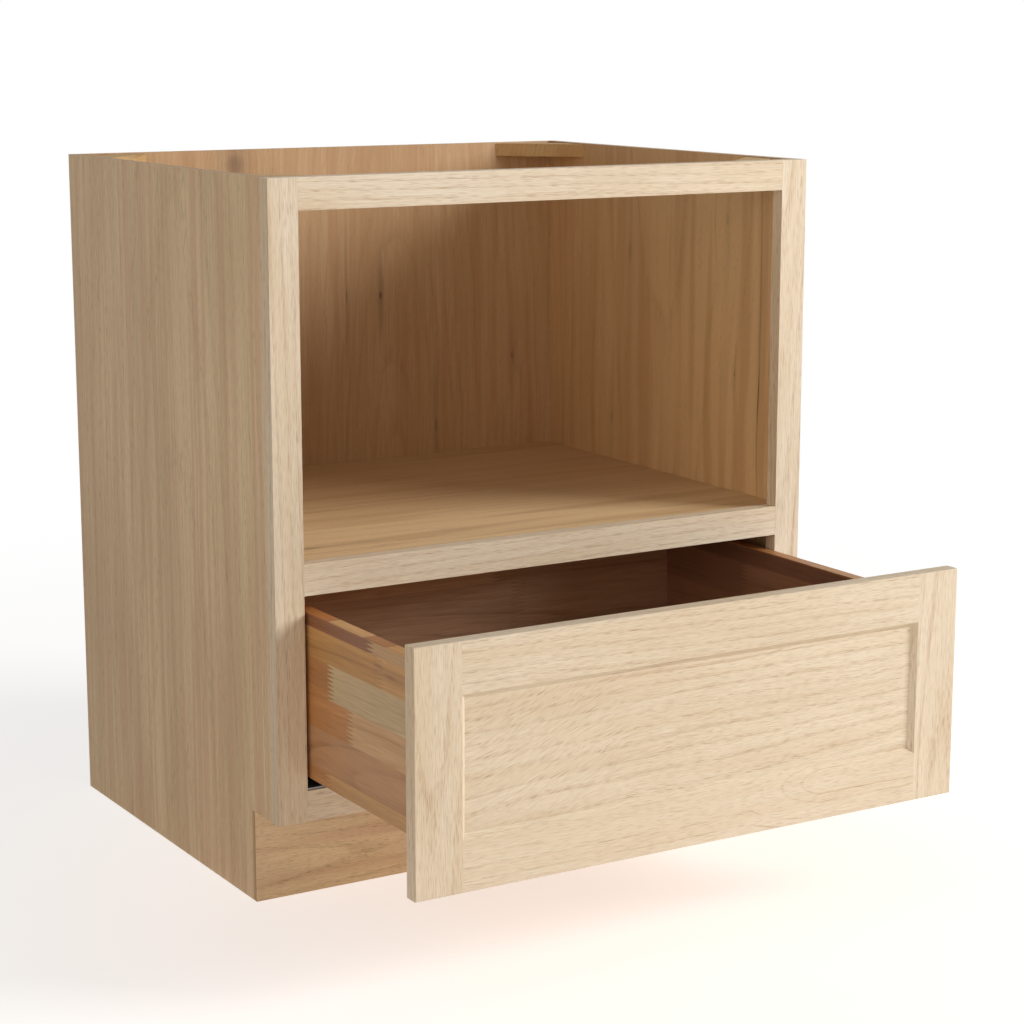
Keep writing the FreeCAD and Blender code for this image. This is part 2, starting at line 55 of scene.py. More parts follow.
MM = 0.001
SIDES = ("left", "right")
WELD = 0.01 * MM  # Corners of a solid closer than this are one corner
SHARP = math.radians(35)  # Edges that turn further than this are eased

# The setting of each kind of node that is chosen after the dot in its name, such as "Math.MULTIPLY"
CHOICE = {"Math": "operation", "VectorMath": "operation", "Mix": "data_type", "MapRange": "interpolation_type",
          "TexWhiteNoise": "noise_dimensions"}

# Length and width in millimetres of one patch of each slow change in the wood
BEND = (260.0, 80.0)
STRONG_RINGS = (90.0, 12.0)
DRIFT = (300.0, 60.0)


def linear(colour: str) -> tuple[float, float, float, float]:
    """Turn an sRGB hex value into a linear colour.

    Args:
        colour: The value, such as "#E6D3B5".

    Returns:
        Red, green, blue and full alpha, from 0 to 1.
    """
    parts = [int(colour[i : i + 2], 16) / 255 for i in (1, 3, 5)]
    red, green, blue = (p / 12.92 if p <= 0.04045 else ((p + 0.055) / 1.055) ** 2.4 for p in parts)
    return red, green, blue, 1.0


def add(tree: NodeTree, kind: str, feeds: list | dict | None = None, **settings) -> Node:
    """Add a shader node, set it up and feed its inputs.

    Args:
        tree: The tree that the node joins.
        kind: The node's type without its "ShaderNode" prefix, then a dot and its choice if that isn't the default.
        feeds: Its inputs in use, by name or as a list in Blender's order: a value, a socket, or a node whose first
            output in use is meant. A MapRange takes a value, the ends of its range and what it gives at each.
        **settings: The node's own settings.

    Returns:
        The new node.
    """
    kind, _, choice = kind.partition(".")
    node = tree.nodes.new("ShaderNode" + kind)
    if choice:
        setattr(node, CHOICE[kind], choice)
    for name, value in settings.items():
        setattr(node, name, value)
    used = [socket for socket in node.inputs if socket.enabled]
    for key, value in feeds.items() if isinstance(feeds, dict) else enumerate(feeds or ()):
        socket = used[key] if isinstance(key, int) else next(s for s in used if s.name == key)
        if isinstance(value, Node):
            value = next(output for output in value.outputs if output.enabled)
        if isinstance(value, NodeSocket):
            tree.links.new(value, socket)
        else:
            socket.default_value = value
    return node


def new_material(name: str) -> tuple[Material, NodeTree]:
    """Make an empty node material.

    Args:
        name: What the material is called.

    Returns:
        The material and its bare tree.
    """
    made = bpy.data.materials.new(name)
    made.use_nodes = True
    made.node_tree.nodes.clear()
    return made, made.node_tree


def dress(node: str, material: Material, eased: float = 0.0) -> None:
    """Give a carried-over solid its finish, and round its sharp edges.

    Args:
        node: The solid's name.
        material: The finish for its whole surface.
        eased: Width of the rounding in metres, or 0 for none.
    """
    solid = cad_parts[node]
    if not solid.material_slots:
        solid.data.materials.append(material)
    for place in solid.material_slots:
        place.material = material
    if eased:
        weld = solid.modifiers.new("weld", "WELD")
        weld.merge_threshold = WELD
        bevel = solid.modifiers.new("eased edges", "BEVEL")
        bevel.width = eased
        bevel.segments = 2
        bevel.limit_method = "ANGLE"
        bevel.angle_limit = SHARP
        bevel.harden_normals = True
    log.info("%s: %s", node, material.name)


def put(name: str, data: Mesh | Light | Camera) -> Object:
    """Put a new object into the scene.

    Args:
        name: What it is called.
        data: Its mesh, lamp or camera.

    Returns:
        The object.
    """
    piece = bpy.data.objects.new(name, data)
    bpy.context.scene.collection.objects.link(piece)
    return piece


class Grain(Enum):
    """How a board lies: the axis along its fibres, the one across its face and the one through its thickness."""

    FRONT_UPRIGHT = "ZXY"
    FRONT_LEVEL = "XZY"
    SIDE_UPRIGHT = "ZYX"
    SIDE_LEVEL = "YZX"
    SHELF_LEVEL = "XYZ"


@dataclass(frozen=True)
class Knot:
    """A knot in a board's face.

    Attributes:
        along: Millimetres along the fibres from the centre of the figure.
        across: Millimetres across them.
        radius: Half its width in millimetres.
        dark: How dark it is, from 0 to 1.
        stretch: How many times longer than wide it is.
        ring: Width in millimetres of the rings round it.
    """

    along: float
    across: float
    radius: float
    dark: float = 1.0
    stretch: float = 2.2
    ring: float = 5.0


@dataclass(frozen=True)
class Sweep:
    """A patch where the fibres sweep aside for a knot that lies outside the board.

    Attributes:
        along: Millimetres along the fibres from the centre of the figure.
        across: Millimetres across them.
        reach: How far the sweep is felt, in millimetres.
        aside: How far the fibres are pushed across in the middle of the patch, in millimetres.
    """

    along: float
    across: float
    reach: float
    aside: float


@dataclass(frozen=True)
class Figure:
    """What a cut shows at each point of the wood, each as a strength from 0 to 1."""

    tone: Node
    painted_light: Node | float
    band: Node
    ring: Node
    pore: Node
    knot: Node | float


def streaks(tree: NodeTree, place: Node, size: Pair, seed: float, detail: float = 0.0) -> Node:
    """Variation that runs with the fibres.

    Args:
        tree: The material's tree.
        place: Millimetres along, across and through the board.
        size: Length of one streak in millimetres, and its width and depth.
        seed: Which stretch of the pattern is used.
        detail: How many finer layers lie on it.

    Returns:
        A noise node whose strength averages one half.
    """
    long, wide = size
    shrink = (1.0 / long, 1.0 / wide, 1.0 / wide)
    shift = (seed, seed * 1.7 + 3.1, seed * 2.3 + 7.7)
    scaled = add(tree, "VectorMath.MULTIPLY_ADD", [place, shrink, shift])
    return add(tree, "TexNoise", {"Vector": scaled, "Scale": 1.0, "Detail": detail})


@dataclass(frozen=True)
class Cut:
    """How a board was sawn from its log, which sets the figure on its face. Sizes are in millimetres.

    Attributes:
        grain: How the board lies.
        centre: The point of the face that the figure is centred on.
        seed: Which tree it came from.
        below: How deep the log's heart lies under that point.
        lean: How far the heart comes nearer to the face for each millimetre along, which draws the arches.
        ring: Width of a growth ring.
        fade: Share of a ring over which its dark line fades.
        wander: How far the fibres stray from straight.
        heart: Least and greatest depth of the log's heart anywhere along the board.
        fibre: Length and width of the fine streaks.
        pores: Length and width of a pore as it is drawn.
        band: Length and width of the bands of other colour.
        painted_light_patch: Where across the board a pale patch of painted light starts and where it is full, or
            None.
        slant: How far the patch's edge moves across for each millimetre along.
        knots: The knots in its face.
        sweep: A patch of swept fibres, if it has one.
    """

    grain: Grain
    centre: Triple = (0.0, 0.0, 0.0)
    seed: float = 0.0
    below: float = 70.0
    lean: float = 0.08
    ring: float = 9.0
    fade: float = 0.5
    wander: float = 6.0
    heart: Pair = (2.0, 1000.0)
    fibre: Pair = (50.0, 0.9)
    pores: Pair = (9.0, 0.7)
    band: Pair = (500.0, 26.0)
    painted_light_patch: Pair | None = None
    slant: float = 0.0
    knots: tuple[Knot, ...] = ()
    sweep: Sweep | None = None

    def local(self, tree: NodeTree) -> Node:
        """Lay out the board's own axes.

        Args:
            tree: The material's tree.

        Returns:
            Millimetres along, across and through the board from the figure's centre.
        """
        place = add(tree, "TexCoord").outputs["Object"]
        back = tuple(-c for c in self.centre)
        millimetres = (1 / MM, 1 / MM, 1 / MM)
        scaled = add(tree, "VectorMath.MULTIPLY_ADD", [place, millimetres, back])
        axes = add(tree, "SeparateXYZ", [scaled])
        return add(tree, "CombineXYZ", [axes.outputs[a] for a in self.grain.value])

    def knot_marks(self, tree: NodeTree, place: Node) -> tuple[Node | float, Node | float]:
        """Mark the knots.

        Args:
            tree: The material's tree.
            place: Millimetres along, across and through the board.

        Returns:
            How dark the knots and their flames are, and how far they push the rings aside.
        """
        dark = push = 0.0
        for knot in self.knots:
            offset = add(tree, "VectorMath.ADD", [place, (-knot.along, -knot.across, 0.0)])
            squeezes = ((share / knot.stretch, 1.0, 0.0) for share in (1.0, 0.2))
            near, long = (add(tree, "VectorMath.MULTIPLY", [offset, squeeze]) for squeeze in squeezes)
            reach, spread = (add(tree, "VectorMath.LENGTH", [way]) for way in (near, long))
            # Each mark's distance, where it is full and where it has gone in radii, its strength and its fall
            eye, flame, ringed, swell = (
                add(tree, f"MapRange.{fall}", [away, full * knot.radius, gone * knot.radius, strength, 0.0])
                for away, full, gone, strength, fall in (
                    (reach, 0.2, 1.2, knot.dark, "SMOOTHSTEP"),
                    (spread, 0.3, 2.0, 0.4 * knot.dark, "SMOOTHSTEP"),
                    (reach, 0.0, 2.6, 0.6 * knot.dark, "LINEAR"),
                    (reach, 0.0, 6.0, 3.0 * knot.radius, "SMOOTHSTEP"),
                )
            )
            phase = add(tree, "Math.MULTIPLY", [reach, 2 * math.pi / knot.ring])
            wave = add(tree, "Math.COSINE", [phase])
            rings = add(tree, "Math.MULTIPLY", [wave, ringed])
            for mark in (eye, flame, rings):
                dark = add(tree, "Math.MAXIMUM", [dark, mark])
            push = add(tree, "Math.ADD", [push, swell])
        return dark, push

    def swept(self, tree: NodeTree, place: Node) -> Node:
        """Push the fibres aside in the sweep's patch.

        Args:
            tree: The material's tree.
            place: Millimetres along, across and through the board.

        Returns:
            The same with the fibres pushed aside.
        """
        if self.sweep is None:
            return place
        middle = (self.sweep.along, self.sweep.across, 0.0)
        distance = add(tree, "VectorMath.DISTANCE", [place, middle])
        aside = add(tree, "MapRange.SMOOTHSTEP", [distance, 0.0, self.sweep.reach, self.sweep.aside, 0.0])
        push = add(tree, "CombineXYZ", {"Y": aside})
        return add(tree, "VectorMath.ADD", [place, push])

    def figure(self, tree: NodeTree, place: Node) -> Figure:
        """Draw the growth rings, pores, bands and slow changes of tone.

        Args:
            tree: The material's tree.
            place: Millimetres along, across and through the board.

        Returns:
            The strengths that a finish colours.
        """
        # The seeds lie apart, so that no pattern repeats another
        bend = streaks(tree, place, BEND, self.seed, 1.0)
        sway = (0.0, 2 * self.wander, 2 * self.wander)
        rest = (0.0, -self.wander, -self.wander)
        stray = add(tree, "VectorMath.MULTIPLY_ADD", [bend.outputs["Color"], sway, rest])
        bent = add(tree, "VectorMath.ADD", [place, stray])
        axes = add(tree, "SeparateXYZ", [bent])
        rise = add(tree, "Math.MULTIPLY_ADD", [axes.outputs["X"], self.lean, self.below])
        kept_under = add(tree, "Clamp", {"Value": rise, "Min": self.heart[0], "Max": self.heart[1]})
        under = add(tree, "Math.ADD", [kept_under, axes.outputs["Z"]])
        across = add(tree, "CombineXYZ", [axes.outputs["Y"], under])
        radius = add(tree, "VectorMath.LENGTH", [across])
        dark, push = self.knot_marks(tree, bent)
        pushed = add(tree, "Math.ADD", [radius, push])
        years = add(tree, "Math.DIVIDE", [pushed, self.ring])
        year = add(tree, "Math.FLOOR", [years])
        season = add(tree, "Math.FRACT", [years])
        vigour = add(tree, "TexWhiteNoise.1D", {"W": year})
        spring = add(tree, "MapRange", [season, 0.0, 0.08])
        fading = add(tree, "MapRange.SMOOTHSTEP", [season, 0.06, self.fade, 1.0, 0.0])
        early = add(tree, "Math.MULTIPLY", [spring, fading])
        patchy = streaks(tree, bent, STRONG_RINGS, self.seed + 51)
        strong = add(tree, "MapRange", [patchy, 0.35, 0.65, 0.25])
        drawn = add(tree, "Math.MULTIPLY", [vigour.outputs["Value"], strong])
        ring = add(tree, "Math.MULTIPLY", [early, drawn])
        # Real pores are about 0.3 mm wide, too fine to show in the picture, so they are drawn twice as wide
        flow = self.swept(tree, bent)
        vessel = streaks(tree, flow, self.pores, self.seed + 11)
        open_pore = add(tree, "MapRange", [vessel, 0.53, 0.72])
        crowd = add(tree, "Math.MULTIPLY_ADD", [early, 0.5, 0.5])
        pore = add(tree, "Math.MULTIPLY", [open_pore, crowd])
        banded = streaks(tree, bent, self.band, self.seed + 23, 1.0)
        band = add(tree, "MapRange.SMOOTHSTEP", [banded, 0.44, 0.64])
        fibre = streaks(tree, flow, self.fibre, self.seed + 37, 1.0)
        drift = streaks(tree, place, DRIFT, self.seed + 71)
        mixed = add(tree, "Math.MULTIPLY_ADD", [fibre, 1.6, drift])
        tone = add(tree, "MapRange", [mixed, 0.95, 1.65])
        painted_light = 0.0
        # Painted light: a pale patch that fades across the board, drawn where light falls on one part of it
        if self.painted_light_patch:
            start, full = self.painted_light_patch
            low, high = (0.0, 1.0) if start < full else (1.0, 0.0)
            edge = add(tree, "Math.MULTIPLY_ADD", [axes.outputs["X"], self.slant, axes.outputs["Y"]])
            painted_light = add(tree, "MapRange.SMOOTHSTEP", [edge, min(start, full), max(start, full), low, high])
        return Figure(tone, painted_light, band, ring, pore, dark)


def wood_surface(tree: NodeTree, colour: Node, figure: Figure, roughness: float, relief: float) -> None:
    """Close a wood's material with a matt surface that the pores sink into.

    Args:
        tree: The material's tree.
        colour: The surface colour.
        figure: The figure whose pores are pressed in.
        roughness: How matt the surface is.
        relief: Depth of the pores in millimetres.
    """
    bump = add(tree, "Bump", {"Strength": 0.6, "Distance": relief * MM, "Height": figure.pore}, invert=True)
    skin = add(tree, "BsdfPrincipled", {"Base Color": colour, "Roughness": roughness, "IOR": 1.5, "Normal": bump})
    add(tree, "OutputMaterial", {"Surface": skin})


@dataclass(frozen=True)
class Timber:
    """A wood and how its surface was made.

    Attributes:
        pale: Colour of the lightest fibres.
        warm: Colour of the darker fibres.
        painted_light: Colour of the pale patch of painted light.
        band: Colour of the bands.
        vein: Colour of the growth rings.
        pore: Colour inside the pores.
        knot: Colour of a knot's eye.
        banding: How strongly the bands show.
        veining: How strongly the rings show.
        pitting: How strongly the pores show.
        roughness: How matt the surface is.
        relief: Depth of the pores in millimetres.
    """

    pale: str
    warm: str
    painted_light: str
    band: str
    vein: str
    pore: str
    knot: str = "#4A2C18"
    banding: float = 0.4
    veining: float = 0.5
    pitting: float = 0.5
    roughness: float = 0.62
    relief: float = 0.12

    def colour(self, tree: NodeTree, figure: Figure) -> Node:
        """Colour a figure.

        Args:
            tree: The material's tree.
            figure: The strengths of its bands, rings, pores and knots.

        Returns:
            The node that gives the surface colour.
        """
        made = add(tree, "Mix.RGBA", [figure.tone, linear(self.pale), linear(self.warm)])
        # The first mark is painted light, a pale patch where light falls
        marks = (
            (figure.painted_light, 0.85, self.painted_light),
            (figure.band, self.banding, self.band),
            (figure.ring, self.veining, self.vein),
            (figure.pore, self.pitting, self.pore),
            (figure.knot, 1.0, self.knot),
        )
        for mark, share, tint in marks:
            if isinstance(mark, Node):
                strength = add(tree, "Math.MULTIPLY", [mark, share])
                made = add(tree, "Mix.RGBA", [strength, made, linear(tint)])
        return made

    def board(self, name: str, cut: Cut) -> Material:
        """Make a solid board of this wood.

        Args:
            name: What the material is called.
            cut: How the board was sawn.

        Returns:
            The material.
        """
        material, tree = new_material(name)
        figure = cut.figure(tree, cut.local(tree))
        wood_surface(tree, self.colour(tree, figure), figure, self.roughness, self.relief)
        return material


# White oak, sanded and left raw: pale straw with fine short pores and faint rings, quite matt.
RAW_OAK = Timber(
    pale="#E8DAC3", warm="#DCC9AD", painted_light="#EEDFC4", band="#DBC4A2", vein="#BF9F76", pore="#A98560", banding=0.3,
    pitting=0.65)
# Oak veneer, sliced and sanded raw: the same straw colour in long streaks with narrow pinkish bands.
OAK_VENEER = Timber(
    pale="#ECD5B0", warm="#D4BA95", painted_light="#F0DAB6", band="#D4AA8A", vein="#C29C76", pore="#A08058", banding=0.45,
    veining=0.35, pitting=0.55)
# The toe kick's own skin: the same veneer drawn lighter, as painted light that lifts the shade under the drawn
# drawer.
TOE_VENEER_WITH_PAINTED_LIGHT = replace(OAK_VENEER, pale="#F6DEB8", warm="#E4CAA2")
# Inner veneer under clear lacquer, which turns it honey yellow with orange-brown bands and a slight sheen.
HONEY_VENEER = Timber(
    pale="#C8A479", warm="#BB9467", painted_light="#F2D3A2", band="#AF8053", vein="#916641", pore="#8A6340", knot="#3A2012",
    banding=0.35, veining=0.22, pitting=0.25, roughness=0.5, relief=0.06)
# Raw veneer on the rear of the back panel, which nobody sees: dull and even.
BACKING_VENEER = Timber(
    pale="#D9BE97", warm="#C8A87C", painted_light="#E2CBA6", band="#C09C70", vein="#B39066", pore="#9C7B55", veining=0.3,
    pitting=0.4)
# Solid softwood of the braces, sawn and planed: yellow with faint rings.
SAWN_PINE = Timber(
    pale="#D2AE78", warm="#C0975F", painted_light="#DDBB86", band="#B5874F", vein="#A87A45", pore="#9A7042", veining=0.6,
    pitting=0.2, roughness=0.68)


@dataclass(frozen=True)
class Plywood:
    """A veneered sheet: one face veneer, one rear veneer and crossed plies that show at its edges.

    Attributes:
        face: Wood of the veneer at the low end of the sheet's thickness axis.
        rear: Wood of the veneer at the high end.
        veneer: Thickness of a veneer, drawn a little thicker than the real 0.5 mm so that it shows.
        ply: Thickness of an inner ply.
        pale: Colour of the palest ply.
        dark: Colour of the darkest ply.
    """

    face: Timber
    rear: Timber
    veneer: float = 0.8
    ply: float = 1.9
    pale: str = "#D8B98C"
    dark: str = "#A57F55"

    def sheet(self, node: str, cut: Cut) -> Material:
        """Make a sheet.

        Args:
            node: The solid that it covers.
            cut: How its veneers were sliced.

        Returns:
            The material.
        """
        material, tree = new_material(f"veneered_plywood_{node}")
        figure = cut.figure(tree, cut.local(tree))
        through = cut.grain.value[2]
        low, high = (corner["XYZ".index(through)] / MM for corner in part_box(node))
        axes = add(tree, "SeparateXYZ", [add(tree, "TexCoord").outputs["Object"]])
        depth = add(tree, "Math.MULTIPLY", [axes.outputs[through], 1 / MM])
        layer = add(tree, "Math.DIVIDE", [depth, self.ply])
        count = add(tree, "Math.FLOOR", [layer])
        shade = add(tree, "TexWhiteNoise.1D", {"W": count})
        made = add(tree, "Mix.RGBA", [shade.outputs["Value"], linear(self.pale), linear(self.dark)])
        low_side = ("LESS_THAN", low + self.veneer, self.face)
        high_side = ("GREATER_THAN", high - self.veneer, self.rear)
        for past, limit, wood in (low_side, high_side):
            here = add(tree, f"Math.{past}", [depth, limit])
            made = add(tree, "Mix.RGBA", [here, made, wood.colour(tree, figure)])
        wood_surface(tree, made, figure, self.face.roughness, self.face.relief)
        return material


@dataclass(frozen=True)
class Stave:
    """A strip of hardwood blocks, finger-jointed end to end.

    Attributes:
        top: Height of its top edge in millimetres.
        joints: Places of its joints along the board in millimetres, from the low end.
        tones: Colours of its blocks, one more than the joints.
    """

    top: float
    joints: tuple[float, ...]
    tones: tuple[str, ...]


@dataclass(frozen=True)
class FingerJointed:
    """Staves glued edge to edge. Every block comes from another tree, so straw, orange and grey brown meet.

    Attributes:
        staves: The staves, from the top down; the first is the top edge's own thin skin.
        tooth: Length of a finger.
        pitch: Distance from one finger to the next.
        blend: Width over which one stave passes into the next.
        line_w: Half the width of the glue line that shows at a joint.
        glue: Colour of that line.
        glueing: How strongly it shows.
        vein: Shares of red, green and blue that the veins keep.
        veining: How strongly the rings show as veins.
        banding: How strongly the bands do.
        light: How bright the palest fibres are against a block's own colour.
        shade: How bright the darkest ones are.
        apart: Lengths in the log over which the blocks are picked, so that neighbours never match.
        knot: Colour of a knot's eye.
        roughness: How matt the surface is.
        relief: Depth of the pores.
    """

    staves: tuple[Stave, ...]
    tooth: float = 20.0
    pitch: float = 5.2
    blend: float = 1.6
    line_w: float = 2.2
    glue: str = "#5A3820"
    glueing: float = 0.35
    vein: Triple = (0.6, 0.48, 0.4)
    veining: float = 0.6
    banding: float = 0.25
    light: float = 1.14
    shade: float = 0.84
    apart: Triple = (900.0, 90.0, 90.0)
    knot: str = "#6A3A1C"
    roughness: float = 0.5
    relief: float = 0.05

    def board(self, name: str, cut: Cut) -> Material:
        """Make a board.

        Args:
            name: What the material is called.
            cut: How its blocks lie and were sawn.

        Returns:
            The material.
        """
        material, tree = new_material(name)
        place = cut.local(tree)
        axes = add(tree, "SeparateXYZ", [add(tree, "TexCoord").outputs["Object"]])
        height = add(tree, "Math.MULTIPLY", [axes.outputs["Z"], 1 / MM])
        zigzag = add(tree, "Math.PINGPONG", [height, self.pitch / 2])
        slope = 2 * self.tooth / self.pitch
        length = add(tree, "Math.MULTIPLY", [axes.outputs[cut.grain.value[0]], 1 / MM])
        toothed = add(tree, "Math.MULTIPLY_ADD", [zigzag, slope, length])
        wood = (0.0, 0.0, 0.0, 1.0)
        block = glue = 0.0
        for i, stave in enumerate(self.staves):
            tone, number, line = linear(stave.tones[0]), 10.0 * i, 0.0
            for joint, further in zip(stave.joints, stave.tones[1:]):
                past = add(tree, "Math.GREATER_THAN", [toothed, joint])
                tone = add(tree, "Mix.RGBA", [past, tone, linear(further)])
                number = add(tree, "Math.ADD", [past, number])
                at_joint = add(tree, "Math.COMPARE", [toothed, joint, self.line_w])
                line = add(tree, "Math.ADD", [at_joint, line])
            under = add(tree, "MapRange", [height, stave.top - self.blend, stave.top, 1.0, 0.0])
            wood = add(tree, "Mix.RGBA", [under, wood, tone])
            inside = add(tree, "Math.GREATER_THAN", [under, 0.5])
            block = add(tree, "Mix", [inside, block, number])
            glue = add(tree, "Mix", [under, glue, line])
        own = add(tree, "TexWhiteNoise.1D", {"W": block})
        away = add(tree, "VectorMath.MULTIPLY_ADD", [own.outputs["Color"], self.apart, place])
        figure = replace(cut, knots=()).figure(tree, away)
        knots, _ = cut.knot_marks(tree, place)
        light = add(tree, "MapRange", [figure.tone, 0.0, 1.0, self.light, self.shade])
        shaded = add(tree, "VectorMath.SCALE", [wood, light])
        dark = add(tree, "VectorMath.MULTIPLY", [shaded, self.vein])
        bands = add(tree, "Math.MULTIPLY", [figure.band, self.banding])
        veins = add(tree, "Math.MULTIPLY_ADD", [figure.ring, self.veining, bands])
        veined = add(tree, "Mix.RGBA", [veins, shaded, dark])
        faint = add(tree, "Math.MULTIPLY", [glue, self.glueing])
        made = add(tree, "Mix.RGBA", [faint, veined, linear(self.glue)])
        if isinstance(knots, Node):
            made = add(tree, "Mix.RGBA", [knots, made, linear(self.knot)])
        wood_surface(tree, made, figure, self.roughness, self.relief)
        return material


@dataclass(frozen=True)
class ZincPlate:
    """Rolled steel sheet, zinc-plated: a cool grey metal with soft streaks from the rolls."""

    tone: str = "#B4B7BA"
    streak: str = "#9A9EA2"
    roughness: float = 0.4
    streak_w: float = 2.5
    streak_l: float = 80.0

    def sheet(self, name: str, grain: Grain = Grain.SIDE_LEVEL) -> Material:
        """Make the plate.

        Args:
            name: What the material is called.
            grain: How the plate lies; its streaks run along it, as the rolls did.

        Returns:
            The material.
        """
        material, tree = new_material(name)
        place = Cut(grain).local(tree)
        rolled = streaks(tree, place, (self.streak_l, self.streak_w), 5.0, 2.0)
        colour = add(tree, "Mix.RGBA", [rolled, linear(self.tone), linear(self.streak)])
        bump = add(tree, "Bump", {"Strength": 0.3, "Distance": 0.02 * MM, "Height": rolled})
        skin = add(tree, "BsdfPrincipled", {"Base Color": colour, "Metallic": 1.0, "Roughness": self.roughness,
                                            "Normal": bump})
        add(tree, "OutputMaterial", {"Surface": skin})
        return material


@dataclass(frozen=True)
class MouldedPlastic:
    """Injection-moulded plastic: an even colour with the fine spark-eroded texture of its mould."""

    colour: str
    roughness: float = 0.45
    texture: float = 1.2
    clear: float = 0.0

    def part(self, name: str) -> Material:
        """Make the plastic; its texture is drawn coarser than the real 0.1 mm so that it shows.

        Args:
            name: What the material is called.

        Returns:
            The material.
        """
        material, tree = new_material(name)
        place = Cut(Grain.FRONT_UPRIGHT).local(tree)
        eroded = streaks(tree, place, (self.texture, self.texture), 3.0, 2.0)
        slight = add(tree, "MapRange", [eroded, 0.0, 1.0, 0.94, 1.06])
        colour = add(tree, "VectorMath.SCALE", [linear(self.colour)[:3], slight])
        bump = add(tree, "Bump", {"Strength": 0.25, "Distance": 0.05 * MM, "Height": eroded})
        skin = add(tree, "BsdfPrincipled", {"Base Color": colour, "Roughness": self.roughness, "IOR": 1.49,
                                            "Transmission Weight": self.clear, "Normal": bump})
        add(tree, "OutputMaterial", {"Surface": skin})
        return material


@dataclass
class FaceFrame:
    """Stiles and rails of raw oak: the stiles' grain runs upright and the rails' runs level."""

    eased: float = 0.2 * MM
    face: float = -609.6

    def dress(self) -> None:
        """Give each stile and rail its own board."""
        straight = {"wander": 3, "pores": (16, 0.6), "fibre": (90, 0.8)}
        boards = {
            "stile_left": Cut(Grain.FRONT_UPRIGHT, (-420, self.face, 260), 1, 50, 0.02, **straight),
            "stile_right": Cut(Grain.FRONT_UPRIGHT, (345, self.face, 560), 2, 40, -0.05, **straight),
            "top_rail": Cut(Grain.FRONT_LEVEL, (-40, self.face, 795), 3, 40, 0.02, **straight),
            "mid_rail": Cut(Grain.FRONT_LEVEL, (120, self.face, 345), 4, 40, -0.03, **straight),
            "bottom_rail": Cut(Grain.FRONT_LEVEL, (-300, self.face, 110), 5, 30, 0.05, **straight),
        }
        for name, cut in boards.items():
            dress(f"frame_{name}", RAW_OAK.board(f"raw_white_oak_frame_{name}", cut), self.eased)


@dataclass
class Carcass:
    """Sides, back, shelf, floor and toe kick of veneered plywood, with sawn braces in the top corners."""

    width: float = 762.0
    back_t: float = 9.5
    eased: float = 0.3 * MM

    def dress(self) -> None:
        """Give each sheet its veneers and each brace its wood."""
        half = self.width / 2
        left = Plywood(OAK_VENEER, HONEY_VENEER)
        right = Plywood(HONEY_VENEER, OAK_VENEER)
        back = Plywood(HONEY_VENEER, BACKING_VENEER)
        inside = Plywood(HONEY_VENEER, HONEY_VENEER)
        # Painted light: the toe kick's veneer is drawn lighter than the sides' veneer
        toe = Plywood(TOE_VENEER_WITH_PAINTED_LIGHT, TOE_VENEER_WITH_PAINTED_LIGHT)
        sliced = {"ring": 14, "wander": 10, "fibre": (200, 1.6)}
        back_knots = (
            Knot(-71, -23, 4.2, 0.8), Knot(-70, -81, 2.4, 0.5, 7), Knot(-173, 194, 4, 0.4),
            Knot(-268, 68, 4.5, 0.4, 4), Knot(121, -249, 20, 0.5, 1.2))
        right_knots = (
            Knot(84, -184, 2.4, 0.5, 3), Knot(-14, 117, 5, 0.3, 3), Knot(230, 74, 6, 0.3, 4),
            Knot(290, -157, 6, 0.2, 3), Knot(60, -235, 1.5, 0.8, 40))
        sheets = {
            "side_panel_left": (left, Cut(
                Grain.SIDE_UPRIGHT, (-half, -330, 420), 6, 320, 0.04, ring=14, wander=4,
                fibre=(300, 1.2), pores=(14, 0.7), band=(900, 9))),
            # Painted light: the inner face is drawn paler toward the open front and fades toward the back
            "side_panel_right": (right, Cut(
                Grain.SIDE_UPRIGHT, (half, -300, 500), 7, 260, -0.05, band=(900, 26),
                painted_light_patch=(550, -700), knots=right_knots, **sliced)),
            "back_panel": (back, Cut(
                Grain.FRONT_UPRIGHT, (106, -self.back_t, 734), 8, 70, 0.15, band=(700, 24),
                knots=back_knots, **sliced)),
            # Painted light: the shelf is drawn paler along its front, the pale patch narrowing to the right
            "microwave_shelf": (inside, Cut(
                Grain.SHELF_LEVEL, (-290, -520, 425.2), 9, 90, 0.03, band=(600, 24),
                painted_light_patch=(350, 80), slant=0.25, knots=(Knot(0, 0, 5, 0.4, 4),), **sliced)),
            "cabinet_floor": (inside, Cut(Grain.SHELF_LEVEL, (0, -300, 150), 10, **sliced)),
            "toe_kick_board": (toe, Cut(Grain.FRONT_LEVEL, (0, -533.4, 60), 11, **sliced)),
            "toe_kick_skin": (toe, Cut(Grain.FRONT_LEVEL, (-180, -542.9, 40), 12, 60, 0.05)),
        }
        for node, (plywood, cut) in sheets.items():
            dress(node, plywood.sheet(node, cut), self.eased)
        for i, (end, side) in enumerate((e, s) for e in ("front", "rear") for s in SIDES):
            cut = Cut(Grain.SHELF_LEVEL, (0.0, -300.0, 874.8), 20.0 + i, 30.0, 0.05, ring=5.0)
            node = f"corner_brace_{end}_{side}"
            dress(node, SAWN_PINE.board(f"sawn_pine_{node}", cut), self.eased)


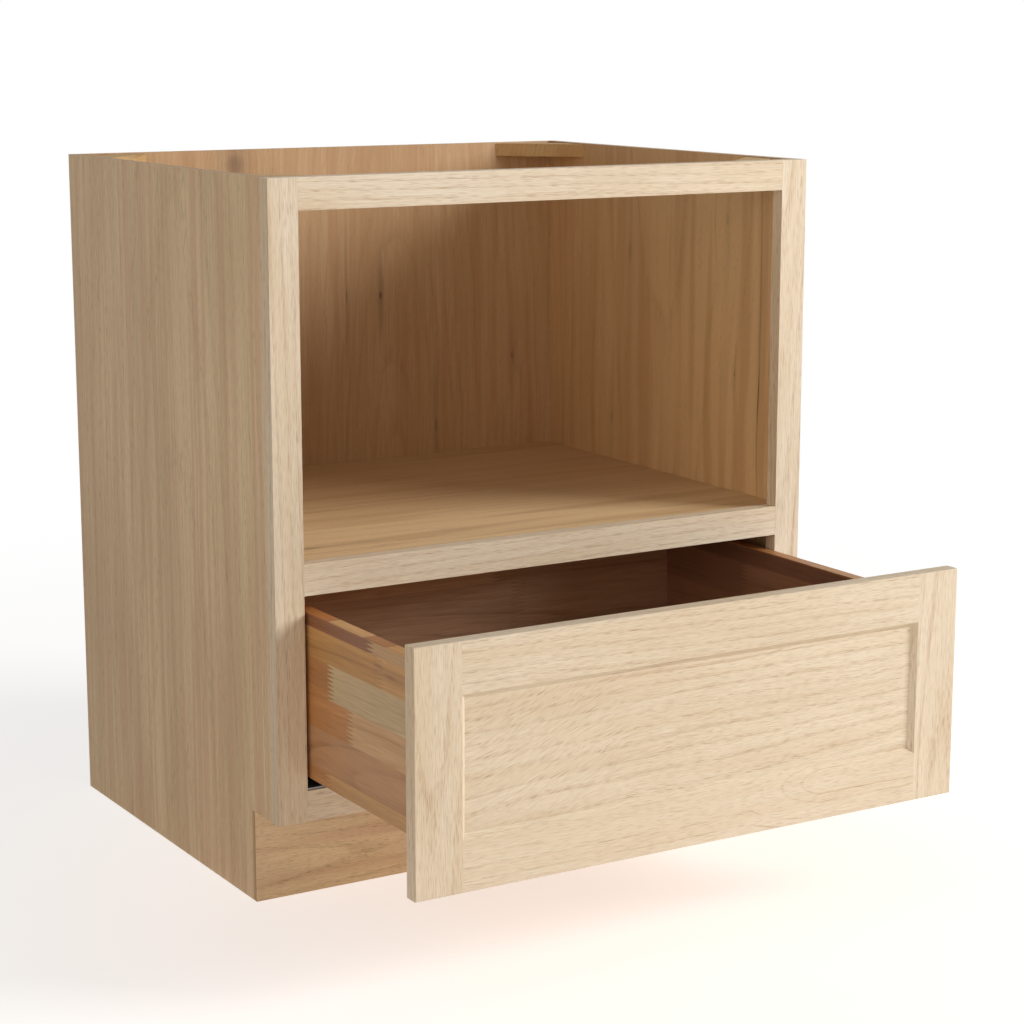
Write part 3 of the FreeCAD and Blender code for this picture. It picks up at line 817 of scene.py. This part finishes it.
@dataclass
class DrawerFront:
    """Coped frame and flat panel of raw oak, with soft clear bumpers behind its corners."""

    eased: float = 0.15 * MM
    face: float = -930.65

    def dress(self) -> None:
        """Give each member its own board, the bottom rail an arched figure and the bumpers clear rubber."""
        fine = {"pores": (14, 0.6), "fibre": (80, 0.8)}
        boards = {
            "stile_left": Cut(Grain.FRONT_UPRIGHT, (-352, self.face, 330), 13, 60, -0.04, **fine),
            "stile_right": Cut(Grain.FRONT_UPRIGHT, (360, self.face, 140), 14, 44, 0.03, **fine),
            "top_rail": Cut(Grain.FRONT_LEVEL, (-150, self.face, 310), 15, 50, 0.03, wander=4, **fine),
            "bottom_rail": Cut(
                Grain.FRONT_LEVEL, (147, self.face, 166), 16, 17.4, -0.3, 8.7, fade=0.25, wander=3, heart=(10, 40),
                **fine),
            "panel": Cut(
                Grain.FRONT_LEVEL, (120, self.face, 150), 17, 70, -0.03, 13, wander=8,
                sweep=Sweep(-450, 110, 250, 70), **fine),
        }
        for name, cut in boards.items():
            dress(f"drawer_front_{name}", RAW_OAK.board(f"raw_white_oak_drawer_front_{name}", cut), self.eased)
        dress("drawer_front_bumpers", MouldedPlastic("#E8E8E2", 0.3, 0.8, 0.6).part("clear_rubber_bumpers"))


@dataclass
class DrawerBox:
    """Dovetailed box of finger-jointed hardwood with a plywood floor."""

    eased: float = 0.4 * MM

    def dress(self) -> None:
        """Give each board its staves and the floor its veneers."""
        bright = (
            Stave(400, (-795, -745, -655), ("#CE9A60", "#B57A48", "#D0A068", "#B4743E")),
            Stave(369.4, (-751,), ("#C5A074", "#92603E")),
            Stave(354.9, (-772,), ("#CFA068", "#CB9A5E")),
            Stave(319, (-652,), ("#CDB48B", "#C28A56")),
            Stave(276, (-699,), ("#D6AE80", "#C88E58")),
            Stave(235, (-560,), ("#BA8D65", "#C8925C")),
            Stave(186, (-640,), ("#C89C68", "#C08A58")),
        )
        # The box front, drawn darker below its top edge as painted shade inside the drawer
        front_staves_painted_shade = (
            Stave(400, (-120, 40), ("#CF9F58", "#AA6C3C", "#C6985A")),
            Stave(369.4, (-200, 130), ("#976F54", "#9F775A", "#936B52")),
            Stave(330, (-60,), ("#976F54", "#9B7256")),
            Stave(280, (100,), ("#916950", "#976F54")),
            Stave(230, (-150,), ("#9B7256", "#916950")),
        )
        # The right side, drawn darker below its top edge as painted shade on its inner face
        deep = (
            Stave(400, (-700,), ("#BC864F", "#B27A46")),
            Stave(369.4, (-850,), ("#876049", "#7A5540")),
            Stave(348, (-760, -560), ("#A67D5E", "#976F54", "#8D664E")),
            Stave(300, (-660,), ("#8D664E", "#9B7256")),
            Stave(240, (-600,), ("#9B7256", "#916950")),
        )
        # The box back, drawn lighter below its top edge as painted light where it lies in shade
        warm = (
            Stave(400, (-150, 20), ("#C6985A", "#CF9F58", "#AA6C3C")),
            Stave(369.4, (-240, 60), ("#B58F71", "#BB9575", "#B18B6B")),
            Stave(320, (90,), ("#B38D6D", "#B79173")),
            Stave(260, (-30,), ("#AD8769", "#B38D6F")),
        )
        side, far, end, rear = (FingerJointed(staves) for staves in (bright, deep, front_staves_painted_shade, warm))
        flames = (Knot(-84, 84, 2.8, 0.5, 7), Knot(-110, 77, 3.4, 0.55, 8))
        sawn = {"below": 30, "lean": 0.04, "ring": 6, "wander": 4}
        boards = {
            "drawer_side_left": (side, Cut(Grain.SIDE_LEVEL, (-338, -700, 260), 31, knots=flames, **sawn)),
            "drawer_side_right": (far, Cut(Grain.SIDE_LEVEL, (338, -700, 260), 34, **sawn)),
            "drawer_box_front": (end, Cut(Grain.FRONT_LEVEL, (0, -896, 260), 37, **sawn)),
            "drawer_box_back": (rear, Cut(Grain.FRONT_LEVEL, (0, -390, 260), 40, **sawn)),
        }
        for node, (wood, cut) in boards.items():
            dress(node, wood.board(f"finger_jointed_hardwood_{node}", cut), self.eased)
        floor = Plywood(HONEY_VENEER, HONEY_VENEER)
        dress("drawer_bottom", floor.sheet("drawer_bottom", Cut(Grain.SHELF_LEVEL, (0.0, -650.0, 185.0), 43.0)))


@dataclass
class Runners:
    """Undermount runners: zinc-plated channels, white rollers in dark cages, grey mouldings, orange levers."""

    def dress(self) -> None:
        """Give every runner piece its finish."""
        zinc = ZincPlate().sheet("zinc_plated_rolled_steel")
        grey = MouldedPlastic("#6E7275").part("moulded_grey_plastic")
        orange = MouldedPlastic("#D2722C", 0.4).part("moulded_orange_lever_plastic")
        dark = MouldedPlastic("#3A3B3D", 0.5).part("moulded_dark_cage_plastic")
        white = MouldedPlastic("#E4E3DC", 0.35).part("moulded_white_roller_plastic")
        finishes = (
            (zinc, ("runner_cabinet_member", "runner_middle_member", "runner_drawer_member")),
            (grey, ("runner_rear_socket", "soft_close_unit", "locking_clip")),
            (orange, ("release_lever",)),
            (dark, ("lower_roller_cage", "upper_roller_cage")),
            (white, ("lower_rollers", "upper_rollers")),
        )
        for material, names in finishes:
            for name in names:
                for side in SIDES:
                    dress(f"{name}_{side}", material)


@dataclass
class Fasteners:
    """Small pan-head screws with cross recesses, too small for the solids. The places are in millimetres.

    Attributes:
        head_r: Radius of a head in metres.
        head_h: Height of a head in metres.
        profile: Shares of that radius and height at each ring of a head, from its seat up.
        arm_l: Reach of a recess arm from the middle, in metres.
        arm_w: Half the width of a recess arm, in metres.
        recess: Shares of the arms' size and of the head's height at the recess's floor.
        facets: Sides of the head's outline.
        channel_t: Thickness of a fixed channel's sheet.
        channel_steps: Its screws' distances from its front end.
        channel_drop: Their distance from its top edge.
        plate_t: Thickness of a rear socket's and a clip's plate.
        socket_steps: The socket's screws' distances from its inner end.
        socket_z: Their height.
        clip_xs: Distances of the clip's screws from the cabinet's middle.
        clip_z: Their height.
    """

    head_r: float = 3.7 * MM
    head_h: float = 1.9 * MM
    profile: tuple[Pair, ...] = ((0.9, 0.0), (1.0, 0.12), (1.0, 0.5), (0.9, 0.82), (0.68, 1.0))
    arm_l: float = 1.9 * MM
    arm_w: float = 0.5 * MM
    recess: Pair = (0.7, 0.35)
    facets: int = 24
    channel_t: float = 1.5
    channel_steps: Pair = (8.0, 14.6)
    channel_drop: float = 5.3
    plate_t: float = 3.0
    socket_steps: Pair = (11.0, 44.0)
    socket_z: float = 180.0
    clip_xs: Pair = (257.4, 268.5)
    clip_z: float = 172.3

    def loop(self, mesh: bmesh.types.BMesh, points: list[Vector]) -> list[bmesh.types.BMEdge]:
        """Add a closed loop of edges through the points."""
        corners = [mesh.verts.new(point) for point in points]
        return [mesh.edges.new((a, b)) for a, b in zip(corners, corners[1:] + corners[:1])]

    def ring(self, radius: float, height: float) -> list[Vector]:
        """Points of a circle round the screw's axis."""
        turns = (2 * math.pi * i / self.facets for i in range(self.facets))
        return [Vector((radius * math.cos(t), radius * math.sin(t), height)) for t in turns]

    def cross(self, share: float, height: float) -> list[Vector]:
        """Outline the cross recess.

        Args:
            share: Share of its full size.
            height: Where it lies above the seat.

        Returns:
            Its corners in order.
        """
        reach = self.arm_l * share
        wide = self.arm_w * share
        outline = []
        for quarter in range(4):
            turn = Matrix.Rotation(quarter * math.pi / 2, 4, "Z")
            outline += [turn @ Vector((x, y, height)) for x, y in ((reach, -wide), (reach, wide), (wide, wide))]
        return outline

    def head(self) -> Mesh:
        """Build one head, standing on its seat with its recess up.

        Returns:
            The closed mesh.
        """
        mesh = bmesh.new()
        outlines = [self.ring(self.head_r * wide, self.head_h * high) for wide, high in self.profile]
        share, depth = self.recess
        outlines += [self.cross(1.0, self.head_h), self.cross(share, self.head_h * depth)]
        loops = [self.loop(mesh, outline) for outline in outlines]
        for low, high in zip(loops, loops[1:]):
            bmesh.ops.bridge_loops(mesh, edges=low + high)
        for end in (loops[0], loops[-1]):
            bmesh.ops.contextual_create(mesh, geom=end)
        bmesh.ops.recalc_face_normals(mesh, faces=mesh.faces)
        made = bpy.data.meshes.new("pan_head")
        mesh.to_mesh(made)
        mesh.free()
        return made

    def set_screws(self, name: str, body: str, seats: list[Vector], facing: list[Euler], steel: Material) -> None:
        """Drive a group of screws.

        Args:
            name: What the group is called.
            body: The body that they hold.
            seats: Where each head rests.
            facing: Turn that brings +Z to each head's outward direction.
            steel: Their finish.
        """
        head = self.head()
        group = bmesh.new()
        for seat, turn in zip(seats, facing):
            placed = head.copy()
            placed.transform(Matrix.Translation(seat) @ turn.to_matrix().to_4x4())
            group.from_mesh(placed)
            bpy.data.meshes.remove(placed)
        joined = bpy.data.meshes.new(name)
        group.to_mesh(joined)
        group.free()
        joined.materials.append(steel)
        piece = put(name, joined)
        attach(piece, body)
        log.info("%s: %d screws on %s", name, len(seats), body)

    def build(self) -> None:
        """Drive the screws of the runners' flanges, rear sockets and locking clips, and finish the CAD ones."""
        steel = ZincPlate("#D0CEC4", "#B4B2A8", 0.28, 1.2).sheet("zinc_plated_screw_steel", Grain.FRONT_LEVEL)
        dress("drawer_front_screws", steel)
        forward, backward = (Euler((turn, 0, 0)) for turn in (math.pi / 2, -math.pi / 2))
        flange, socket, clip, turns = [], [], [], []
        for side, sign in zip(SIDES, (-1, 1)):
            low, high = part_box(f"runner_cabinet_member_{side}")
            face_x = max(abs(low.x), abs(high.x)) - self.channel_t * MM
            for step in self.channel_steps:
                flange.append(Vector((sign * face_x, low.y + step * MM, high.z - self.channel_drop * MM)))
                turns.append(Euler((0, -sign * math.pi / 2, 0)))
            low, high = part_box(f"runner_rear_socket_{side}")
            near = min(abs(low.x), abs(high.x))
            for step in self.socket_steps:
                socket.append(Vector((sign * (near + step * MM), high.y - self.plate_t * MM, self.socket_z * MM)))
            low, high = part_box(f"locking_clip_{side}")
            for x in self.clip_xs:
                clip.append(Vector((sign * x * MM, low.y + self.plate_t * MM, self.clip_z * MM)))
        self.set_screws("runner_flange_screws", "cabinet", flange, turns, steel)
        self.set_screws("rear_socket_screws", "cabinet", socket, [forward] * len(socket), steel)
        self.set_screws("locking_clip_screws", "drawer", clip, [backward] * len(clip), steel)


@dataclass
class Softbox:
    """A square area lamp that faces the cabinet.

    Attributes:
        azimuth: Degrees to the right of straight in front.
        elevation: Degrees above level.
        distance: From the cabinet's middle.
        side: Side of the square.
        level: Light that it puts on a surface facing it, where 1 shows a colour as it is written.
        tint: Colour of its light.
    """

    azimuth: float
    elevation: float
    distance: float
    side: float
    level: float
    tint: str = "#FFFFFF"

    def hang(self, name: str, target: Vector) -> None:
        """Hang the lamp.

        Args:
            name: What it is called.
            target: The point that it faces.
        """
        lamp = bpy.data.lights.new(name, "AREA")
        lamp.shape = "SQUARE"
        lamp.size = self.side
        lamp.energy = self.level * math.pi**2 * self.distance**2
        lamp.color = linear(self.tint)[:3]
        holder = put(name, lamp)
        turn, rise = math.radians(self.azimuth), math.radians(self.elevation)
        away = Vector((math.sin(turn) * math.cos(rise), -math.cos(turn) * math.cos(rise), math.sin(rise)))
        holder.location = target + away * self.distance
        holder.rotation_euler = away.to_track_quat("Z", "Y").to_euler()
        log.info("%s: level %.2f", name, self.level)


@dataclass
class Studio:
    """Pale floor, white surroundings, the softboxes and the camera.

    Attributes:
        middle: Where the lamps aim.
        foot: Point of the floor below the drawn drawer, which the lit wood tints.
        ambient: Light from all round.
        ambient_tint: Its colour.
        lamps: The softboxes by name.
        floor_side: Side of the floor.
        floor_tone: Colour of the floor.
        floor_glow: Tint that the lit wood casts on the floor.
        floor_lift: How much brighter the floor is shown than its paint.
        floor_kick: Light that the floor throws up at its foot beside its own bounce.
        floor_near: Distance from the middle within which the floor takes its full share of shade.
        floor_far: Distance where it has turned white.
        floor_share: That full share.
        glow_near: Distance from the foot within which the tint is full.
        glow_far: Distance where it has gone.
        stand: Where the camera stands.
        lens: Focal length in millimetres.
        pitch_down: How far the camera looks down, in radians.
        turn_right: How far it is turned to the right, in radians.
    """

    middle: Vector = field(default_factory=lambda: Vector((0.0, -0.45, 0.45)))
    foot: Triple = (0.05, -0.9, 0.0)
    ambient: float = 0.18
    ambient_tint: str = "#FFF8F2"
    lamps: dict[str, Softbox] = field(default_factory=lambda: {
        "key_softbox": Softbox(52, 21, 5, 2, 0.85),
        "left_softbox": Softbox(-68, 15, 5, 2.5, 0.1, "#FFF0E0"),
        "low_front_softbox": Softbox(-42, 10, 5, 2.5, 0.14, "#FFF0E0"),
    })
    floor_side: float = 80.0
    floor_tone: str = "#F7F4F1"
    floor_glow: str = "#FFE6D4"
    floor_lift: float = 0.54
    floor_kick: float = 0.26
    floor_near: float = 0.5
    floor_far: float = 2.3
    floor_share: float = 0.65
    glow_near: float = 0.2
    glow_far: float = 1.0
    stand: Triple = (-1.581, -3.1272, 1.0453)
    lens: float = 86.3
    pitch_down: float = 0.196
    turn_right: float = 0.5436

    def seen(self, tree: NodeTree) -> Node:
        """Tell rays that show the background, straight or in a reflection, from those that carry light.

        Args:
            tree: The tree that asks.

        Returns:
            A node that gives 1 for the first kind and 0 for the other.
        """
        path = add(tree, "LightPath")
        straight = add(tree, "Math.MAXIMUM", [path.outputs["Is Camera Ray"], path.outputs["Is Glossy Ray"]])
        return add(tree, "Math.MAXIMUM", [straight, path.outputs["Is Transmission Ray"]])

    def surround(self) -> None:
        """Make the surroundings show white and light the cabinet at their own plain level."""
        world = bpy.data.worlds.new("white_surroundings")
        world.use_nodes = True
        tree = world.node_tree
        tree.nodes.clear()
        light = add(tree, "Background", {"Color": linear(self.ambient_tint), "Strength": self.ambient})
        white = add(tree, "Background", {"Color": (1, 1, 1, 1), "Strength": 1.0})
        both = add(tree, "MixShader", [self.seen(tree), light, white])
        add(tree, "OutputWorld", {"Surface": both})
        bpy.context.scene.world = world

    def floor(self) -> None:
        """Lay the floor, which keeps the cabinet's shadow nearby and turns white further out."""
        half = self.floor_side / 2
        mesh = bpy.data.meshes.new("studio_floor")
        corners = [(-half, -half, 0), (half, -half, 0), (half, half, 0), (-half, half, 0)]
        mesh.from_pydata(corners, [], [(0, 1, 2, 3)])
        material, tree = new_material("matt_painted_floor")
        place = add(tree, "TexCoord").outputs["Object"]
        flat = add(tree, "VectorMath.ADD", [place, (-self.middle.x, -self.middle.y, 0.0)])
        reach = add(tree, "VectorMath.LENGTH", [flat])
        share = add(tree, "MapRange.SMOOTHSTEP", [reach, self.floor_near, self.floor_far, self.floor_share, 0.0])
        step = add(tree, "VectorMath.DISTANCE", [place, self.foot])
        close = add(tree, "MapRange.SMOOTHSTEP", [step, self.glow_near, self.glow_far, 1.0, 0.0])
        glow = add(tree, "Mix.RGBA", [close, (1, 1, 1, 1), linear(self.floor_glow)])
        paint = add(tree, "BsdfDiffuse", {"Color": linear(self.floor_tone)})
        lift = add(tree, "Emission", {"Color": glow, "Strength": self.floor_lift})
        lifted = add(tree, "AddShader", [paint, lift])
        white = add(tree, "Emission")
        shown = add(tree, "MixShader", [share, white, lifted])
        kick_level = add(tree, "Math.MULTIPLY", [close, self.floor_kick])
        kick = add(tree, "Emission", {"Color": glow, "Strength": kick_level})
        kicked = add(tree, "AddShader", [paint, kick])
        both = add(tree, "MixShader", [self.seen(tree), kicked, shown])
        add(tree, "OutputMaterial", {"Surface": both})
        mesh.materials.append(material)
        put("studio_floor", mesh)

    def camera(self) -> None:
        """Stand the camera where the photograph was taken: left of the cabinet, a little above its top."""
        camera = bpy.data.cameras.new("camera")
        camera.sensor_width = 36.0
        camera.lens = self.lens
        camera.clip_end = 200.0
        holder = put("camera", camera)
        holder.location = self.stand
        holder.rotation_euler = (math.pi / 2 - self.pitch_down, 0.0, -self.turn_right)
        bpy.context.scene.camera = holder

    def build(self) -> None:
        """Set the whole studio."""
        bpy.context.scene.view_settings.view_transform = "Standard"
        self.surround()
        self.floor()
        for name, lamp in self.lamps.items():
            lamp.hang(name, self.middle)
        self.camera()


def main() -> None:
    """Dress the cabinet from the frame outward to the small fasteners, then set the studio."""
    logging.basicConfig(level=logging.INFO, format="%(name)s: %(message)s")
    for assembly in (FaceFrame(), Carcass(), DrawerFront(), DrawerBox(), Runners()):
        assembly.dress()
    Fasteners().build()
    Studio().build()


if __name__ == "__main__":
    main()
